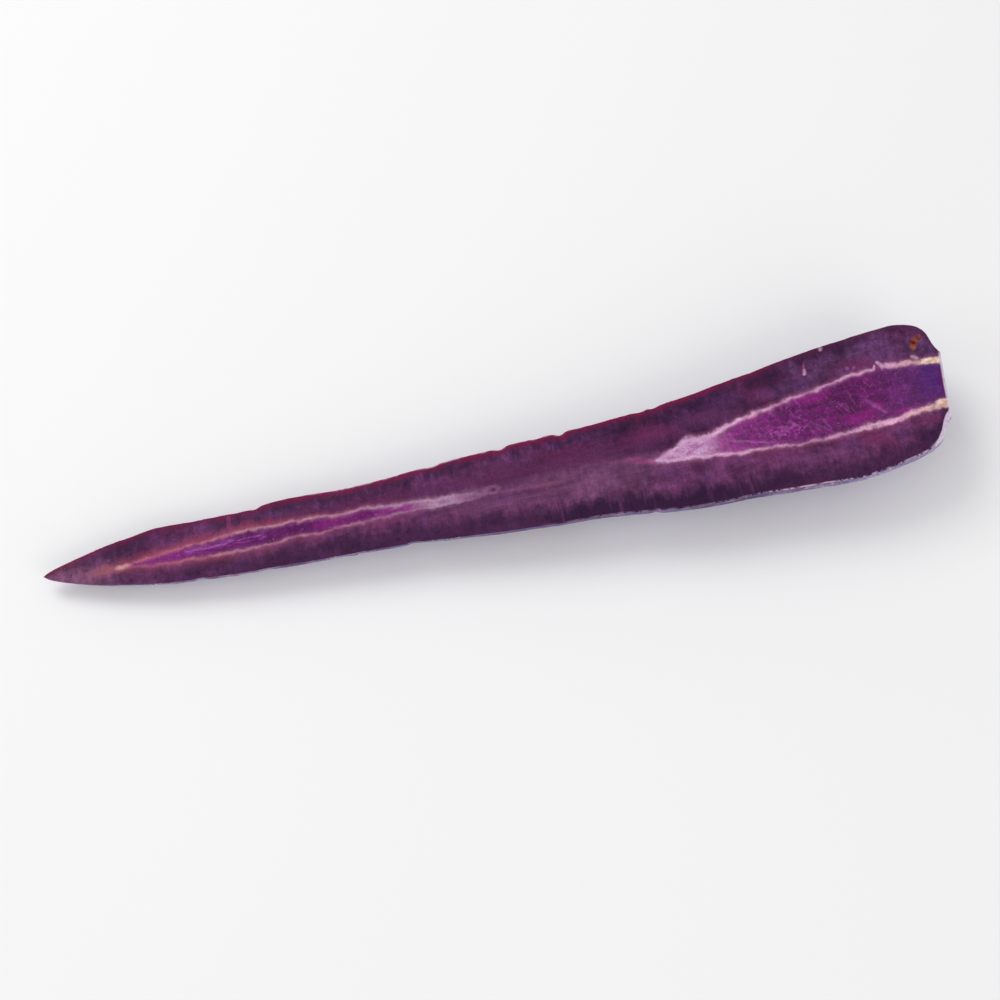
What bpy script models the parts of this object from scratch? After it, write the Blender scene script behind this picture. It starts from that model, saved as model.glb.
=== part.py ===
# Purple carrot halved lengthwise, lying on its skin with the cut face up.
# The root runs along X, trimmed crown towards +X and tip towards -X, and the board is Z = 0.
# A station is a distance along the root from its crown, and tables are in millimetres.

import math
import random

import bmesh
import bpy
from mathutils import Matrix, Vector

MM = 0.001

# Reach of the cut face from the root's straight axis, as (station, reach)
FAR_EDGE = (
    (-1.5, 9.0), (0.4, 12.2), (1.4, 15.6), (2.5, 17.1), (4.5, 18.3), (9.0, 19.1), (16.5, 18.7),
    (31.0, 16.8), (51.0, 13.5), (71.0, 10.6), (95.0, 9.3), (119.0, 8.0), (143.0, 6.5), (156.0, 7.0),
    (169.0, 6.0), (187.0, 6.2), (196.0, 5.0), (204.0, 3.4), (210.0, 1.9), (213.6, 0.8), (215.0, 0.0),
)
NEAR_EDGE = (
    (-1.5, 5.0), (1.6, 7.0), (2.6, 8.9), (3.8, 11.2), (5.4, 12.3), (10.0, 13.8), (25.0, 16.3),
    (43.0, 15.5), (62.0, 15.2), (81.0, 13.1), (93.0, 12.6), (108.0, 11.7), (130.0, 9.9), (147.0, 9.5),
    (164.0, 9.0), (178.0, 8.2), (188.0, 7.2), (196.0, 6.0), (204.0, 4.2), (210.0, 2.4), (213.6, 1.0),
    (215.0, 0.0),
)
ROOT_LENGTH = 215.0
DEPTH_OF_HALF = 0.98          # depth below the cut, against half the width of the cut

# Rows of points along the root: close at the two round ends, wider between
CROWN_START = -1.5
CROWN_ROWS = 13
CROWN_END = 12.0
BODY_ROWS = 132
TIP_START = 200.0
TIP_ROWS = 13
POINTS_AROUND = 52

# Trimmed crown: the knife leans a little across the root
TRIM_LEAN = math.radians(4.5)

# Slow swells of the skin, as (part of the radius, lobes around, turns along the root, start angle)
SWELLS = (
    (0.016, 2, 1.4, 0.6),
    (0.012, 3, -2.3, 2.1),
    (0.009, 5, 3.7, 4.0),
)

# Creases that ring the skin, as (station, angle around in degrees, spread in degrees, depth)
# 0 is the far edge of the cut, -90 the keel and -180 the near edge
EDGE_CREASES = (
    (90.5, -5.0, 45.0, 0.75),
    (105.0, -5.0, 40.0, 0.65),
    (71.0, -8.0, 35.0, 0.30),
    (129.0, -175.0, 40.0, 0.40),
    (164.0, 0.0, 50.0, 0.35),
)
CREASE_SEED = 11
CREASE_COUNT = 17
CREASE_SPAN = (16.0, 198.0)
CREASE_SPREAD = (30.0, 75.0)
CREASE_DEPTH = (0.25, 0.55)
CREASE_WIDTH = 1.3            # half width of a crease where it is about a third as deep

# Two small flats are worn by the half's own weight where it lies
FLAT_DEPTH = 0.35
SHOULDER_SPAN = (10.0, 90.0)
TIP_SPAN = (150.0, 205.0)
TANGENT_ROUNDS = 6

MERGE_DISTANCE = 0.00001
FLESH_COLOUR = (0.115, 0.028, 0.105, 1.0)
FLESH_ROUGHNESS = 0.45


def clear_scene():
    for item in list(bpy.data.objects):
        bpy.data.objects.remove(item, do_unlink=True)


def knot_slopes(table):
    """Slope at each point of a table, chosen so that the curve never overshoots."""
    steps = [(b[1] - a[1]) / (b[0] - a[0]) for a, b in zip(table, table[1:])]
    slopes = [steps[0]]
    for before, after in zip(steps, steps[1:]):
        same_way = before * after > 0
        slopes.append(2 * before * after / (before + after) if same_way else 0.0)
    slopes.append(steps[-1])
    return slopes


def smooth_curve(table):
    """A smooth function through a table's points."""
    slopes = knot_slopes(table)

    def value(station):
        place = min(max(station, table[0][0]), table[-1][0])
        knot = 0
        while knot < len(table) - 2 and place > table[knot + 1][0]:
            knot += 1
        (x0, y0), (x1, y1) = table[knot], table[knot + 1]
        span = x1 - x0
        t = (place - x0) / span
        start = (1 + 2 * t) * (1 - t) ** 2 * y0 + t * (1 - t) ** 2 * span * slopes[knot]
        end = t * t * (3 - 2 * t) * y1 + t * t * (t - 1) * span * slopes[knot + 1]
        return start + end

    return value


far_reach = smooth_curve(FAR_EDGE)
near_reach = smooth_curve(NEAR_EDGE)


def half_width(station):
    return (far_reach(station) + near_reach(station)) / 2


def centre_line(station):
    return (far_reach(station) - near_reach(station)) / 2


def draw_creases():
    """The edge creases, then the seeded ones that ring the skin between them."""
    draw = random.Random(CREASE_SEED)
    creases = list(EDGE_CREASES)
    pitch = (CREASE_SPAN[1] - CREASE_SPAN[0]) / CREASE_COUNT
    for number in range(CREASE_COUNT):
        station = CREASE_SPAN[0] + pitch * (number + draw.uniform(0.15, 0.85))
        angle = draw.uniform(-150.0, -30.0)
        creases.append((station, angle, draw.uniform(*CREASE_SPREAD), draw.uniform(*CREASE_DEPTH)))
    return creases


CREASES = draw_creases()


def crease_depth(station, angle):
    """How far the skin sinks at a place, in millimetres."""
    sunk = 0.0
    for place, middle, spread, depth in CREASES:
        off = (station - place) / CREASE_WIDTH
        if abs(off) > 3:
            continue
        turn = (math.degrees(angle) - middle + 180) % 360 - 180
        sunk += depth * math.exp(-off * off - (turn / spread) ** 2)
    return sunk


def swell(station, angle):
    """Slow swelling of the skin, none at the knife's plane."""
    along = 2 * math.pi * station / ROOT_LENGTH
    waves = sum(size * math.sin(lobes * angle + turns * along + start)
                for size, lobes, turns, start in SWELLS)
    return 1 + waves * abs(math.sin(angle))


def skin_point(station, angle):
    """A point of the uncut root's skin, with the knife's plane at Z = 0."""
    width = half_width(station)
    reach = max(width - crease_depth(station, angle) * min(1.0, width / 6), 0.0) * swell(station, angle)
    across = centre_line(station) + reach * math.cos(angle)
    up = reach * DEPTH_OF_HALF * math.sin(angle)
    return Vector((-station, across, up)) * MM


def spread_evenly(start, end, count):
    return [start + (end - start) * number / count for number in range(count)]


def row_stations():
    """Stations of the rows of points, from the crown to the tip."""
    rows = spread_evenly(CROWN_START, CROWN_END, CROWN_ROWS)
    rows += spread_evenly(CROWN_END, TIP_START, BODY_ROWS)
    rows += spread_evenly(TIP_START, ROOT_LENGTH, TIP_ROWS)
    return rows + [ROOT_LENGTH]


def grow_root():
    """The whole root: a grid wrapped round, its seam and tip merged and its crown closed."""
    rows = row_stations()
    root = bmesh.new()
    bmesh.ops.create_grid(root, x_segments=len(rows) - 1, y_segments=POINTS_AROUND, size=1.0)
    for point in root.verts:
        row = round((point.co.x + 1) / 2 * (len(rows) - 1))
        turn = round((point.co.y + 1) / 2 * POINTS_AROUND)
        point.co = skin_point(rows[row], 2 * math.pi * turn / POINTS_AROUND)
    bmesh.ops.remove_doubles(root, verts=root.verts, dist=MERGE_DISTANCE)
    close_holes(root)
    bmesh.ops.recalc_face_normals(root, faces=root.faces)
    return root


def close_holes(mesh):
    open_edges = [edge for edge in mesh.edges if edge.is_boundary]
    bmesh.ops.holes_fill(mesh, edges=open_edges, sides=0)


def slice_off(mesh, point, normal):
    """Cut the mesh by a plane, drop the side that the normal points to and close the cut."""
    everything = mesh.verts[:] + mesh.edges[:] + mesh.faces[:]
    cut = bmesh.ops.bisect_plane(mesh, geom=everything, dist=MERGE_DISTANCE, plane_co=point,
                                 plane_no=normal, clear_outer=True)
    for item in cut["geom_cut"]:
        if isinstance(item, bmesh.types.BMVert):
            item.co -= normal * (item.co - point).dot(normal)
    close_holes(mesh)


def rest_line():
    """Tilt of the half and height of its cut plane over the board, from where its keel touches."""
    def keel(span):
        count = int(span[1] - span[0])
        points = [skin_point(span[0] + number, -math.pi / 2) for number in range(count)]
        return [(point.x, -point.z) for point in points]

    shoulder, tip = keel(SHOULDER_SPAN), keel(TIP_SPAN)
    slope = 0.0
    for _ in range(TANGENT_ROUNDS):
        low_a = max(shoulder, key=lambda place: place[1] - slope * place[0])
        low_b = max(tip, key=lambda place: place[1] - slope * place[0])
        slope = (low_a[1] - low_b[1]) / (low_a[0] - low_b[0])
    tilt = math.atan(slope)
    height = (low_a[1] - slope * low_a[0]) * math.cos(tilt)
    return tilt, height


def lay_down(mesh):
    """Turn the half so that its keel's two lowest spots meet the board, and wear them flat."""
    tilt, height = rest_line()
    bmesh.ops.transform(mesh, matrix=Matrix.Rotation(-tilt, 4, "Y"), verts=mesh.verts)
    drop = Vector((0.0, 0.0, height - FLAT_DEPTH * MM))
    bmesh.ops.translate(mesh, vec=drop, verts=mesh.verts)
    slice_off(mesh, Vector((0.0, 0.0, 0.0)), Vector((0.0, 0.0, -1.0)))


def centre_on_board(mesh):
    xs = [point.co.x for point in mesh.verts]
    ys = [point.co.y for point in mesh.verts]
    middle = Vector(((min(xs) + max(xs)) / 2, (min(ys) + max(ys)) / 2, 0.0))
    bmesh.ops.translate(mesh, vec=-middle, verts=mesh.verts)


def flesh_material():
    material = bpy.data.materials.new("purple_flesh")
    material.use_nodes = True
    surface = material.node_tree.nodes["Principled BSDF"]
    surface.inputs["Base Color"].default_value = FLESH_COLOUR
    surface.inputs["Roughness"].default_value = FLESH_ROUGHNESS
    surface.inputs["Metallic"].default_value = 0.0
    return material


def add_object(name, source, material):
    mesh = bpy.data.meshes.new(name)
    source.to_mesh(mesh)
    source.free()
    mesh.materials.append(material)
    item = bpy.data.objects.new(name, mesh)
    bpy.context.scene.collection.objects.link(item)
    mesh.shade_smooth()
    mesh.set_sharp_from_angle(angle=math.radians(35))
    return item


def make_carrot_half():
    half = grow_root()
    slice_off(half, Vector((0.0, 0.0, 0.0)), Vector((math.cos(TRIM_LEAN), -math.sin(TRIM_LEAN), 0.0)))
    slice_off(half, Vector((0.0, 0.0, 0.0)), Vector((0.0, 0.0, 1.0)))
    lay_down(half)
    centre_on_board(half)
    bmesh.ops.recalc_face_normals(half, faces=half.faces)
    return add_object("carrot_half", half, flesh_material())


clear_scene()
make_carrot_half()
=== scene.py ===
# The looks of a purple carrot half: skin, cut flesh, trimmed crown, floor, light and camera
import math
import random

import bmesh
import bpy
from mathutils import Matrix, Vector, noise


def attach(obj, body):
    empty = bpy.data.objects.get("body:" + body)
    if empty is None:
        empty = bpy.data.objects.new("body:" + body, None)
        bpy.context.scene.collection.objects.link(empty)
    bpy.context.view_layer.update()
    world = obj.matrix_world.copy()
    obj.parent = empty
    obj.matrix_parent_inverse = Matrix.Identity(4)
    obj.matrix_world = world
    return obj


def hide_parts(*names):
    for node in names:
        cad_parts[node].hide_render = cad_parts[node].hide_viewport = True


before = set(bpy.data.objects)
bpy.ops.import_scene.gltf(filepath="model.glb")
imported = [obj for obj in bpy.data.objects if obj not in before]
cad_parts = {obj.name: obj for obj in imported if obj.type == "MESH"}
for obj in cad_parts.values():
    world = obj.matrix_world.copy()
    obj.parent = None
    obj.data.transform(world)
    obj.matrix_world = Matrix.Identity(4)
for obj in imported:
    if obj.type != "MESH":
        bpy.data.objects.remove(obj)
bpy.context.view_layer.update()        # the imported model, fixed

mm = 0.001

# A station is a distance in mm from the crown, and across is in mm from the root's straight axis
root = {
    "farEdge": (
        (-1.5, 9.0), (0.4, 12.2), (1.4, 15.6), (2.5, 17.1), (4.5, 18.3), (9.0, 19.1), (16.5, 18.7),
        (31.0, 16.8), (51.0, 13.5), (71.0, 10.6), (95.0, 9.3), (119.0, 8.0), (143.0, 6.5), (156.0, 7.0),
        (169.0, 6.0), (187.0, 6.2), (196.0, 5.0), (204.0, 3.4), (210.0, 1.9), (213.6, 0.8), (215.0, 0.0),
    ),
    "nearEdge": (
        (-1.5, 5.0), (1.6, 7.0), (2.6, 8.9), (3.8, 11.2), (5.4, 12.3), (10.0, 13.8), (25.0, 16.3),
        (43.0, 15.5), (62.0, 15.2), (81.0, 13.1), (93.0, 12.6), (108.0, 11.7), (130.0, 9.9), (147.0, 9.5),
        (164.0, 9.0), (178.0, 8.2), (188.0, 7.2), (196.0, 6.0), (204.0, 4.2), (210.0, 2.4), (213.6, 1.0),
        (215.0, 0.0),
    ),
    "length": 215.0,
    "depth": 0.98,                    # depth of the half, against half its width
    "trimLean": math.radians(4.5),    # the crown's cut leans this much across the root
    "swells": ((0.016, 2, 1.4, 0.6), (0.012, 3, -2.3, 2.1), (0.009, 5, 3.7, 4.0)),
    "edgeCreases": (
        (90.5, -5.0, 45.0, 0.75), (105.0, -5.0, 40.0, 0.65), (71.0, -8.0, 35.0, 0.3),
        (129.0, -175.0, 40.0, 0.4), (164.0, 0.0, 50.0, 0.35),
    ),
    "creaseSeed": 11,
    "creaseCount": 17,
    "creaseSpan": (16.0, 198.0),
    "creaseShare": (0.15, 0.85),      # where in its own stretch of the span a crease may lie
    "creaseAngles": (-150.0, -30.0),  # 0 is the far edge of the cut, -90 the keel and -180 the near edge
    "creaseSpread": (30.0, 75.0),
    "creaseDepth": (0.25, 0.55),
    "creaseWidth": 1.3,
}

# Rows of points along the root as (first station, last station, rows), and points round it
mesh = {
    "rows": ((-1.5, 12.0, 44), (12.0, 200.0, 398), (200.0, 215.0, 40)),
    "skinColumns": 84,
    "faceColumns": 116,
    "rimCrowding": 0.4,               # how much closer the face's points stand by its rims
    "mergeDistance": 0.000004,
    "sharpAngle": math.radians(38),
    "markReach": 4.0,                 # mm along the root past which a crease or scar isn't felt
}

# Places in the bake map: four strips, two of the skin and two of the flesh, and the crown's cut
bakePlaces = {
    "ends": (0.005, 0.995),
    "gap": 0.008,
    "skin": (0.01, 0.255),            # where the part's first strip starts, and a strip's height
    "face": (0.545, 0.175),
    "crownStart": (0.03, 0.915),
    "crownShift": (12.0, 22.0),       # mm
    "crownPerMm": 0.0033,
}

# Fine relief of the skin, in mm; a layer of noise is (wave along the root, wave round it, height, seed)
skin = {
    "lumps": (9.0, 9.0, 0.22, 1.3),
    "wrinkles": (1.7, 6.0, 0.06, 2.7),
    "grain": (1.6, 1.6, 0.035, 5.1),
    "scarSeed": 5,
    "slitCount": 60,
    "slitSpan": (6.0, 205.0),
    "slitAngles": (-172.0, -8.0),
    "slitLength": (1.2, 4.2),         # half of its length round the root
    "slitWidth": (0.4, 0.6),          # half of its width along the root
    "slitDepth": (0.08, 0.2),
    "pitCount": 6,
    "pitSpan": (14.0, 200.0),
    "pitRows": (-150.0, -112.0, -68.0, -32.0),
    "pitScatter": 7.0,                # degrees to either side of its row
    "pitRadius": (0.7, 1.1),
    "pitStretch": 1.3,
    "pitDepth": (0.25, 0.5),
}

# Edges of the core on the cut, as (station, across): one lens at the crown and one down the tail
# Past their ends the two edges cross, so that each lens closes in a point
core = {
    "crownFar": (
        (-2.0, 8.1), (0.5, 8.3), (3.0, 8.7), (7.0, 9.1), (13.0, 9.5), (15.5, 9.2), (20.0, 9.0), (23.5, 8.4),
        (26.0, 7.9), (30.0, 7.0), (36.0, 6.2), (42.0, 4.8), (50.0, 3.3), (54.0, 1.9), (57.0, 1.2),
        (61.5, 1.5), (63.5, 0.7), (66.0, -0.6), (69.0, -1.7), (72.0, -2.6), (84.0, -4.0),
    ),
    "crownNear": (
        (-2.0, -2.0), (1.5, -2.4), (5.0, -2.9), (8.0, -3.2), (12.0, -4.0), (18.0, -4.4), (26.0, -5.0),
        (34.0, -5.3), (38.0, -5.1), (42.0, -4.7), (48.0, -4.6), (55.0, -3.9), (60.0, -3.5), (66.0, -2.8),
        (70.0, -2.3), (72.0, -1.8), (84.0, 0.0),
    ),
    "tailFar": (
        (96.0, -5.0), (108.0, -2.4), (112.0, -1.3), (116.0, -0.8), (123.0, -0.5), (128.0, -0.2),
        (135.0, 0.2), (140.0, 0.8), (143.0, 0.3), (146.0, 0.4), (150.0, 1.0), (156.0, 1.1), (160.0, 0.9),
        (167.0, 1.2), (172.0, 0.8), (180.0, 0.3), (186.0, -0.2), (192.0, -0.9), (197.0, -1.8),
        (204.0, -3.6),
    ),
    "tailNear": (
        (96.0, 2.0), (108.0, -1.4), (112.0, -2.3), (117.0, -2.8), (124.0, -2.5), (130.0, -2.2),
        (136.0, -2.4), (140.0, -2.7), (145.0, -2.5), (150.0, -3.0), (156.0, -2.7), (163.0, -3.4),
        (172.0, -3.3), (180.0, -3.1), (186.0, -2.8), (192.0, -2.3), (197.0, -1.6), (204.0, 0.4),
    ),
    "between": 92.0,                  # the crown's lens lies before this station
    # Half width and strength of the pale lines, as (station, half width, strength)
    "farLine": (
        (0.0, 0.8, 1.0), (4.0, 0.62, 1.0), (8.0, 0.5, 0.95), (13.0, 0.52, 0.78), (13.9, 0.4, 0.1),
        (14.8, 0.25, 0.1), (15.6, 0.27, 0.85), (21.0, 0.34, 0.9), (25.5, 0.28, 0.82), (31.0, 0.32, 0.88),
        (36.0, 0.36, 0.9), (46.0, 0.38, 0.92), (56.0, 0.5, 1.0), (66.0, 0.4, 0.8), (72.0, 0.3, 0.35),
        (108.0, 0.2, 0.2), (113.0, 0.3, 0.7), (126.0, 0.35, 0.9), (136.0, 0.3, 0.85),
        (144.0, 0.26, 0.67), (150.0, 0.26, 0.9), (160.0, 0.24, 0.72), (170.0, 0.24, 0.7),
        (182.0, 0.24, 0.6), (190.0, 0.26, 0.55), (198.0, 0.4, 0.4), (204.0, 0.2, 0.1),
    ),
    "nearLine": (
        (0.0, 1.05, 1.0), (4.5, 0.85, 1.0), (6.5, 0.5, 1.0), (12.0, 0.6, 1.0), (20.0, 0.54, 0.97),
        (26.0, 0.37, 0.88), (33.0, 0.27, 0.77), (40.0, 0.26, 0.8), (50.0, 0.32, 0.88), (60.0, 0.4, 1.0),
        (68.0, 0.35, 0.8), (73.0, 0.25, 0.3), (108.0, 0.2, 0.1), (122.0, 0.25, 0.42),
        (136.0, 0.25, 0.54), (148.0, 0.24, 0.48), (158.0, 0.26, 0.58), (172.0, 0.24, 0.66),
        (190.0, 0.24, 0.5), (198.0, 0.3, 0.3),
    ),
    "waver": (3.5, 3.5, 0.3, 3.9),    # a layer of noise that its edge follows
    # Relief of the cut, in mm; a pair is where a rise starts and where it is whole
    "sink": 0.16,
    "sinkSlope": (0.0, 1.6),          # from the core's edge inwards
    "ridge": 0.07,
    "ridgeWidth": 0.5,
    "fibres": (5.0, 1.1, 0.1, 7.7),
    "cortexSlope": (0.3, 2.0),        # from the core's edge outwards
    "cortex": (2.4, 2.4, 0.08, 9.2),
    "pillow": 0.14,
    "pillowSlope": (0.2, 3.0),        # from the rim inwards
    "rimSlope": (0.0, 0.9),
}

camera = {
    "azimuth": -11.03,
    "elevation": 70.0,
    "lens": 100.0,
    "sensor": 36.0,
    "distance": 0.6472,
    "axisMiddle": (496.0, 484.5),     # where the middle of the root's axis falls in the picture
    "picture": 1000.0,
}

studio = {
    "worldColour": (1.0, 1.0, 1.0, 1.0),
    "worldStrength": 0.6,
    # name: place, size, watts
    "lamps": {
        "keyLamp": ((-0.35, 0.55, 0.75), 0.55, 3.7),
        "frontLamp": ((0.45, -0.75, 0.55), 0.7, 2.3),
        "leftLamp": ((-0.85, -0.2, 0.5), 0.6, 1.3),
    },
}


def mix(a, b, t):
    return a + (b - a) * t


def smooth(value, low, high):
    t = min(max((value - low) / (high - low), 0.0), 1.0)
    return t * t * (3 - 2 * t)


def smoothCurve(table):
    # A curve through the points that never overshoots them
    steps = [(b[1] - a[1]) / (b[0] - a[0]) for a, b in zip(table, table[1:])]
    slopes = [steps[0]]
    for before, after in zip(steps, steps[1:]):
        slopes.append(2 * before * after / (before + after) if before * after > 0 else 0.0)
    slopes.append(steps[-1])

    def value(station):
        place = min(max(station, table[0][0]), table[-1][0])
        knot = 0
        while knot < len(table) - 2 and place > table[knot + 1][0]:
            knot += 1
        (x0, y0), (x1, y1) = table[knot], table[knot + 1]
        span = x1 - x0
        t = (place - x0) / span
        start = (1 + 2 * t) * (1 - t) ** 2 * y0 + t * (1 - t) ** 2 * span * slopes[knot]
        end = t * t * (3 - 2 * t) * y1 + t * t * (t - 1) * span * slopes[knot + 1]
        return start + end

    return value


def tableCurves(names, column):
    return {name: smoothCurve([(row[0], row[column]) for row in core[name]]) for name in names}


farReach = smoothCurve(root["farEdge"])
nearReach = smoothCurve(root["nearEdge"])
coreEdges = tableCurves(("crownFar", "crownNear", "tailFar", "tailNear"), 1)
lineHalves = tableCurves(("farLine", "nearLine"), 1)
lineShows = tableCurves(("farLine", "nearLine"), 2)


def noiseAt(x, y, layer):
    alongWave, acrossWave, height, seed = layer
    return height * noise.noise(Vector((x / alongWave, y / acrossWave, seed)))


def drawCreases():
    draw = random.Random(root["creaseSeed"])
    creases = list(root["edgeCreases"])
    first, last = root["creaseSpan"]
    pitch = (last - first) / root["creaseCount"]
    for number in range(root["creaseCount"]):
        station = first + pitch * (number + draw.uniform(*root["creaseShare"]))
        angle = draw.uniform(*root["creaseAngles"])
        spread = draw.uniform(*root["creaseSpread"])
        creases.append((station, angle, spread, draw.uniform(*root["creaseDepth"])))
    return creases


def drawScars():
    # Slits across the skin and the round pits that rootlets leave, as
    # (station, angle, half width along the root, half length round it, depth)
    draw = random.Random(skin["scarSeed"])
    scars = []
    for _ in range(skin["slitCount"]):
        station = draw.uniform(*skin["slitSpan"])
        angle = math.radians(draw.uniform(*skin["slitAngles"]))
        width = draw.uniform(*skin["slitWidth"])
        length = draw.uniform(*skin["slitLength"]) * mix(1.0, 0.5, station / root["length"])
        scars.append((station, angle, width, length, draw.uniform(*skin["slitDepth"])))
    for _ in range(skin["pitCount"]):
        radius = draw.uniform(*skin["pitRadius"])
        row = draw.choice(skin["pitRows"])
        station = draw.uniform(*skin["pitSpan"])
        angle = math.radians(row + draw.uniform(-skin["pitScatter"], skin["pitScatter"]))
        scars.append((station, angle, radius, radius * skin["pitStretch"], draw.uniform(*skin["pitDepth"])))
    return scars


creases = drawCreases()
scars = drawScars()


def nearStation(things, station):
    return [thing for thing in things if abs(thing[0] - station) < mesh["markReach"]]


def creaseDepth(station, angle, close):
    sunk = 0.0
    for place, middle, spread, depth in close:
        off = (station - place) / root["creaseWidth"]
        turn = (math.degrees(angle) - middle + 180) % 360 - 180
        sunk += depth * math.exp(-off * off - (turn / spread) ** 2)
    return sunk


def swell(station, angle):
    along = 2 * math.pi * station / root["length"]
    waves = sum(size * math.sin(lobes * angle + turns * along + start)
                for size, lobes, turns, start in root["swells"])
    return 1 + waves * abs(math.sin(angle))


def scarMarks(station, angle, width, close):
    # How deep the skin's scars are here, and how much of a scar's colour shows
    relief = 0.0
    mark = 0.0
    for place, middle, half, length, depth in close:
        along = (station - place) / half
        around = (angle - middle) * width / length
        spot = along * along + around * around
        if spot > 9:
            continue
        inside = math.exp(-spot * 1.4)
        relief += depth * (0.6 * math.exp(-(spot - 1.8) ** 2) - inside)
        mark = max(mark, inside)
    return relief, mark


def skinSpot(station, angle, closeCreases, closeScars):
    # Across, up and the colour marks of a point of the skin
    width = (farReach(station) + nearReach(station)) / 2
    centre = (farReach(station) - nearReach(station)) / 2
    arc = -angle * width
    taper = min(1.0, width / 6)
    crease = creaseDepth(station, angle, closeCreases) * taper
    relief, scar = scarMarks(station, angle, width, closeScars)
    for layer in ("lumps", "wrinkles", "grain"):
        relief += noiseAt(station, arc, skin[layer])
    reach = max((width - crease) * swell(station, angle) + relief * taper, 0.0)
    if width < 0.01:
        reach = 0.0
    return centre + reach * math.cos(angle), reach * root["depth"] * math.sin(angle), scar, crease


def coreMarks(station, across):
    # Distance in mm from the core's edge, less than nothing inside it,
    # and the half width and strength of the pale line
    lens = "crown" if station < core["between"] else "tail"
    far, near = coreEdges[lens + "Far"](station), coreEdges[lens + "Near"](station)
    y = across + noiseAt(station, across, core["waver"])
    farShare = smooth(y - (far + near) / 2, -0.3, 0.3)
    half = mix(lineHalves["nearLine"](station), lineHalves["farLine"](station), farShare)
    show = mix(lineShows["nearLine"](station), lineShows["farLine"](station), farShare)
    return max(y - far, near - y), half, show


def faceSide(turn):
    # Share of the way from the near rim to the far rim
    even = turn / mesh["faceColumns"]
    return mix(even, (1 - math.cos(math.pi * even)) / 2, mesh["rimCrowding"])


def faceRelief(station, across, rim, distance):
    # Height of the cut flesh over the knife's plane: a sunk core, a ridge round it, a soft cortex
    inside = smooth(-distance, *core["sinkSlope"])
    height = inside * (noiseAt(station, across, core["fibres"]) - core["sink"])
    height += core["ridge"] * math.exp(-(distance / core["ridgeWidth"]) ** 2)
    outside = smooth(distance, *core["cortexSlope"])
    height += outside * core["pillow"] * smooth(rim, *core["pillowSlope"])
    height += outside * noiseAt(station, across, core["cortex"])
    return height * smooth(rim, *core["rimSlope"])


class RootFrame:
    # Turns station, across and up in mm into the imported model's place
    def __init__(self, node):
        points = [point.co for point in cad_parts[node].data.vertices]
        self.tip = min(points, key=lambda point: point.x)
        crown = max(points, key=lambda point: point.z)
        tilt = math.atan2(crown.z - self.tip.z, crown.x - self.tip.x)
        self.along = Vector((math.cos(tilt), 0.0, math.sin(tilt)))
        self.up = Vector((-math.sin(tilt), 0.0, math.cos(tilt)))

    def place(self, station, across, up):
        spot = self.tip + self.along * (root["length"] - station) * mm + self.up * up * mm
        return spot + Vector((0.0, across * mm, 0.0))


rootFrame = RootFrame("carrot_half")


def rowStations():
    rows = []
    for first, last, count in mesh["rows"]:
        rows += [mix(first, last, number / count) for number in range(count)]
    return rows + [root["length"]]


def uvSpot(station, side, part):
    # A strip is half of the root long
    middle = root["length"] / 2
    strip = 0 if station < middle else 1
    first, last = ((mesh["rows"][0][0], middle), (middle, root["length"]))[strip]
    start, height = bakePlaces[part]
    start += strip * (height + bakePlaces["gap"])
    return mix(*bakePlaces["ends"], (station - first) / (last - first)), start + side * height


def gridPlace(spot, lastRow):
    # Row and turn of a spot of the flat grid, which reaches from -1 to 1 both ways
    columns = mesh["skinColumns"] + mesh["faceColumns"]
    return (spot.x + 1) / 2 * lastRow, (spot.y + 1) / 2 * columns


def layStrips(half, rows, bakeMap):
    # Skin or flesh for each face, and its place in the bake map
    skinColumns = mesh["skinColumns"]
    lastRow = len(rows) - 1
    middleRow = min(range(lastRow), key=lambda row: abs(rows[row] - root["length"] / 2))
    for face in half.faces:
        faceRow, faceTurn = gridPlace(face.calc_center_median(), lastRow)
        part = "skin" if faceTurn < skinColumns else "face"
        face.material_index = 0 if part == "skin" else 1
        for loop in face.loops:
            row, turn = [round(value) for value in gridPlace(loop.vert.co, lastRow)]
            side = turn / skinColumns if part == "skin" else faceSide(turn - skinColumns)
            station = rows[row]
            if row == middleRow:
                station += 0.001 if faceRow > middleRow else -0.001    # just inside the face's own strip
            loop[bakeMap].uv = uvSpot(station, side, part)


def shapeRow(station, points, layers, fleshPlace):
    # One ring of points, as (turn, point), set round the half with its marks for the materials
    skinColumns = mesh["skinColumns"]
    closeCreases = nearStation(creases, station)
    closeScars = nearStation(scars, station)
    farRim = skinSpot(station, 0.0, closeCreases, closeScars)[0]
    nearRim = skinSpot(station, -math.pi, closeCreases, closeScars)[0]
    for turn, point in points:
        if turn <= skinColumns:
            angle = -math.pi * turn / skinColumns
            across, up, scar, crease = skinSpot(station, angle, closeCreases, closeScars)
            rim = 0.0
            distance, lineHalf, show = coreMarks(station, across)
        else:
            scar, crease = 0.0, 0.0
            across = mix(nearRim, farRim, faceSide(turn - skinColumns))
            rim = min(farRim - across, across - nearRim)
            distance, lineHalf, show = coreMarks(station, across)
            up = faceRelief(station, across, rim, distance)
        for layer, mark in zip(layers, (distance, lineHalf, show, rim, scar, crease)):
            point[layer] = mark
        point[fleshPlace] = Vector((station, across, up))
        point.co = rootFrame.place(station, across, up)
        point.co.z = max(point.co.z, 0.0)


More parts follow.
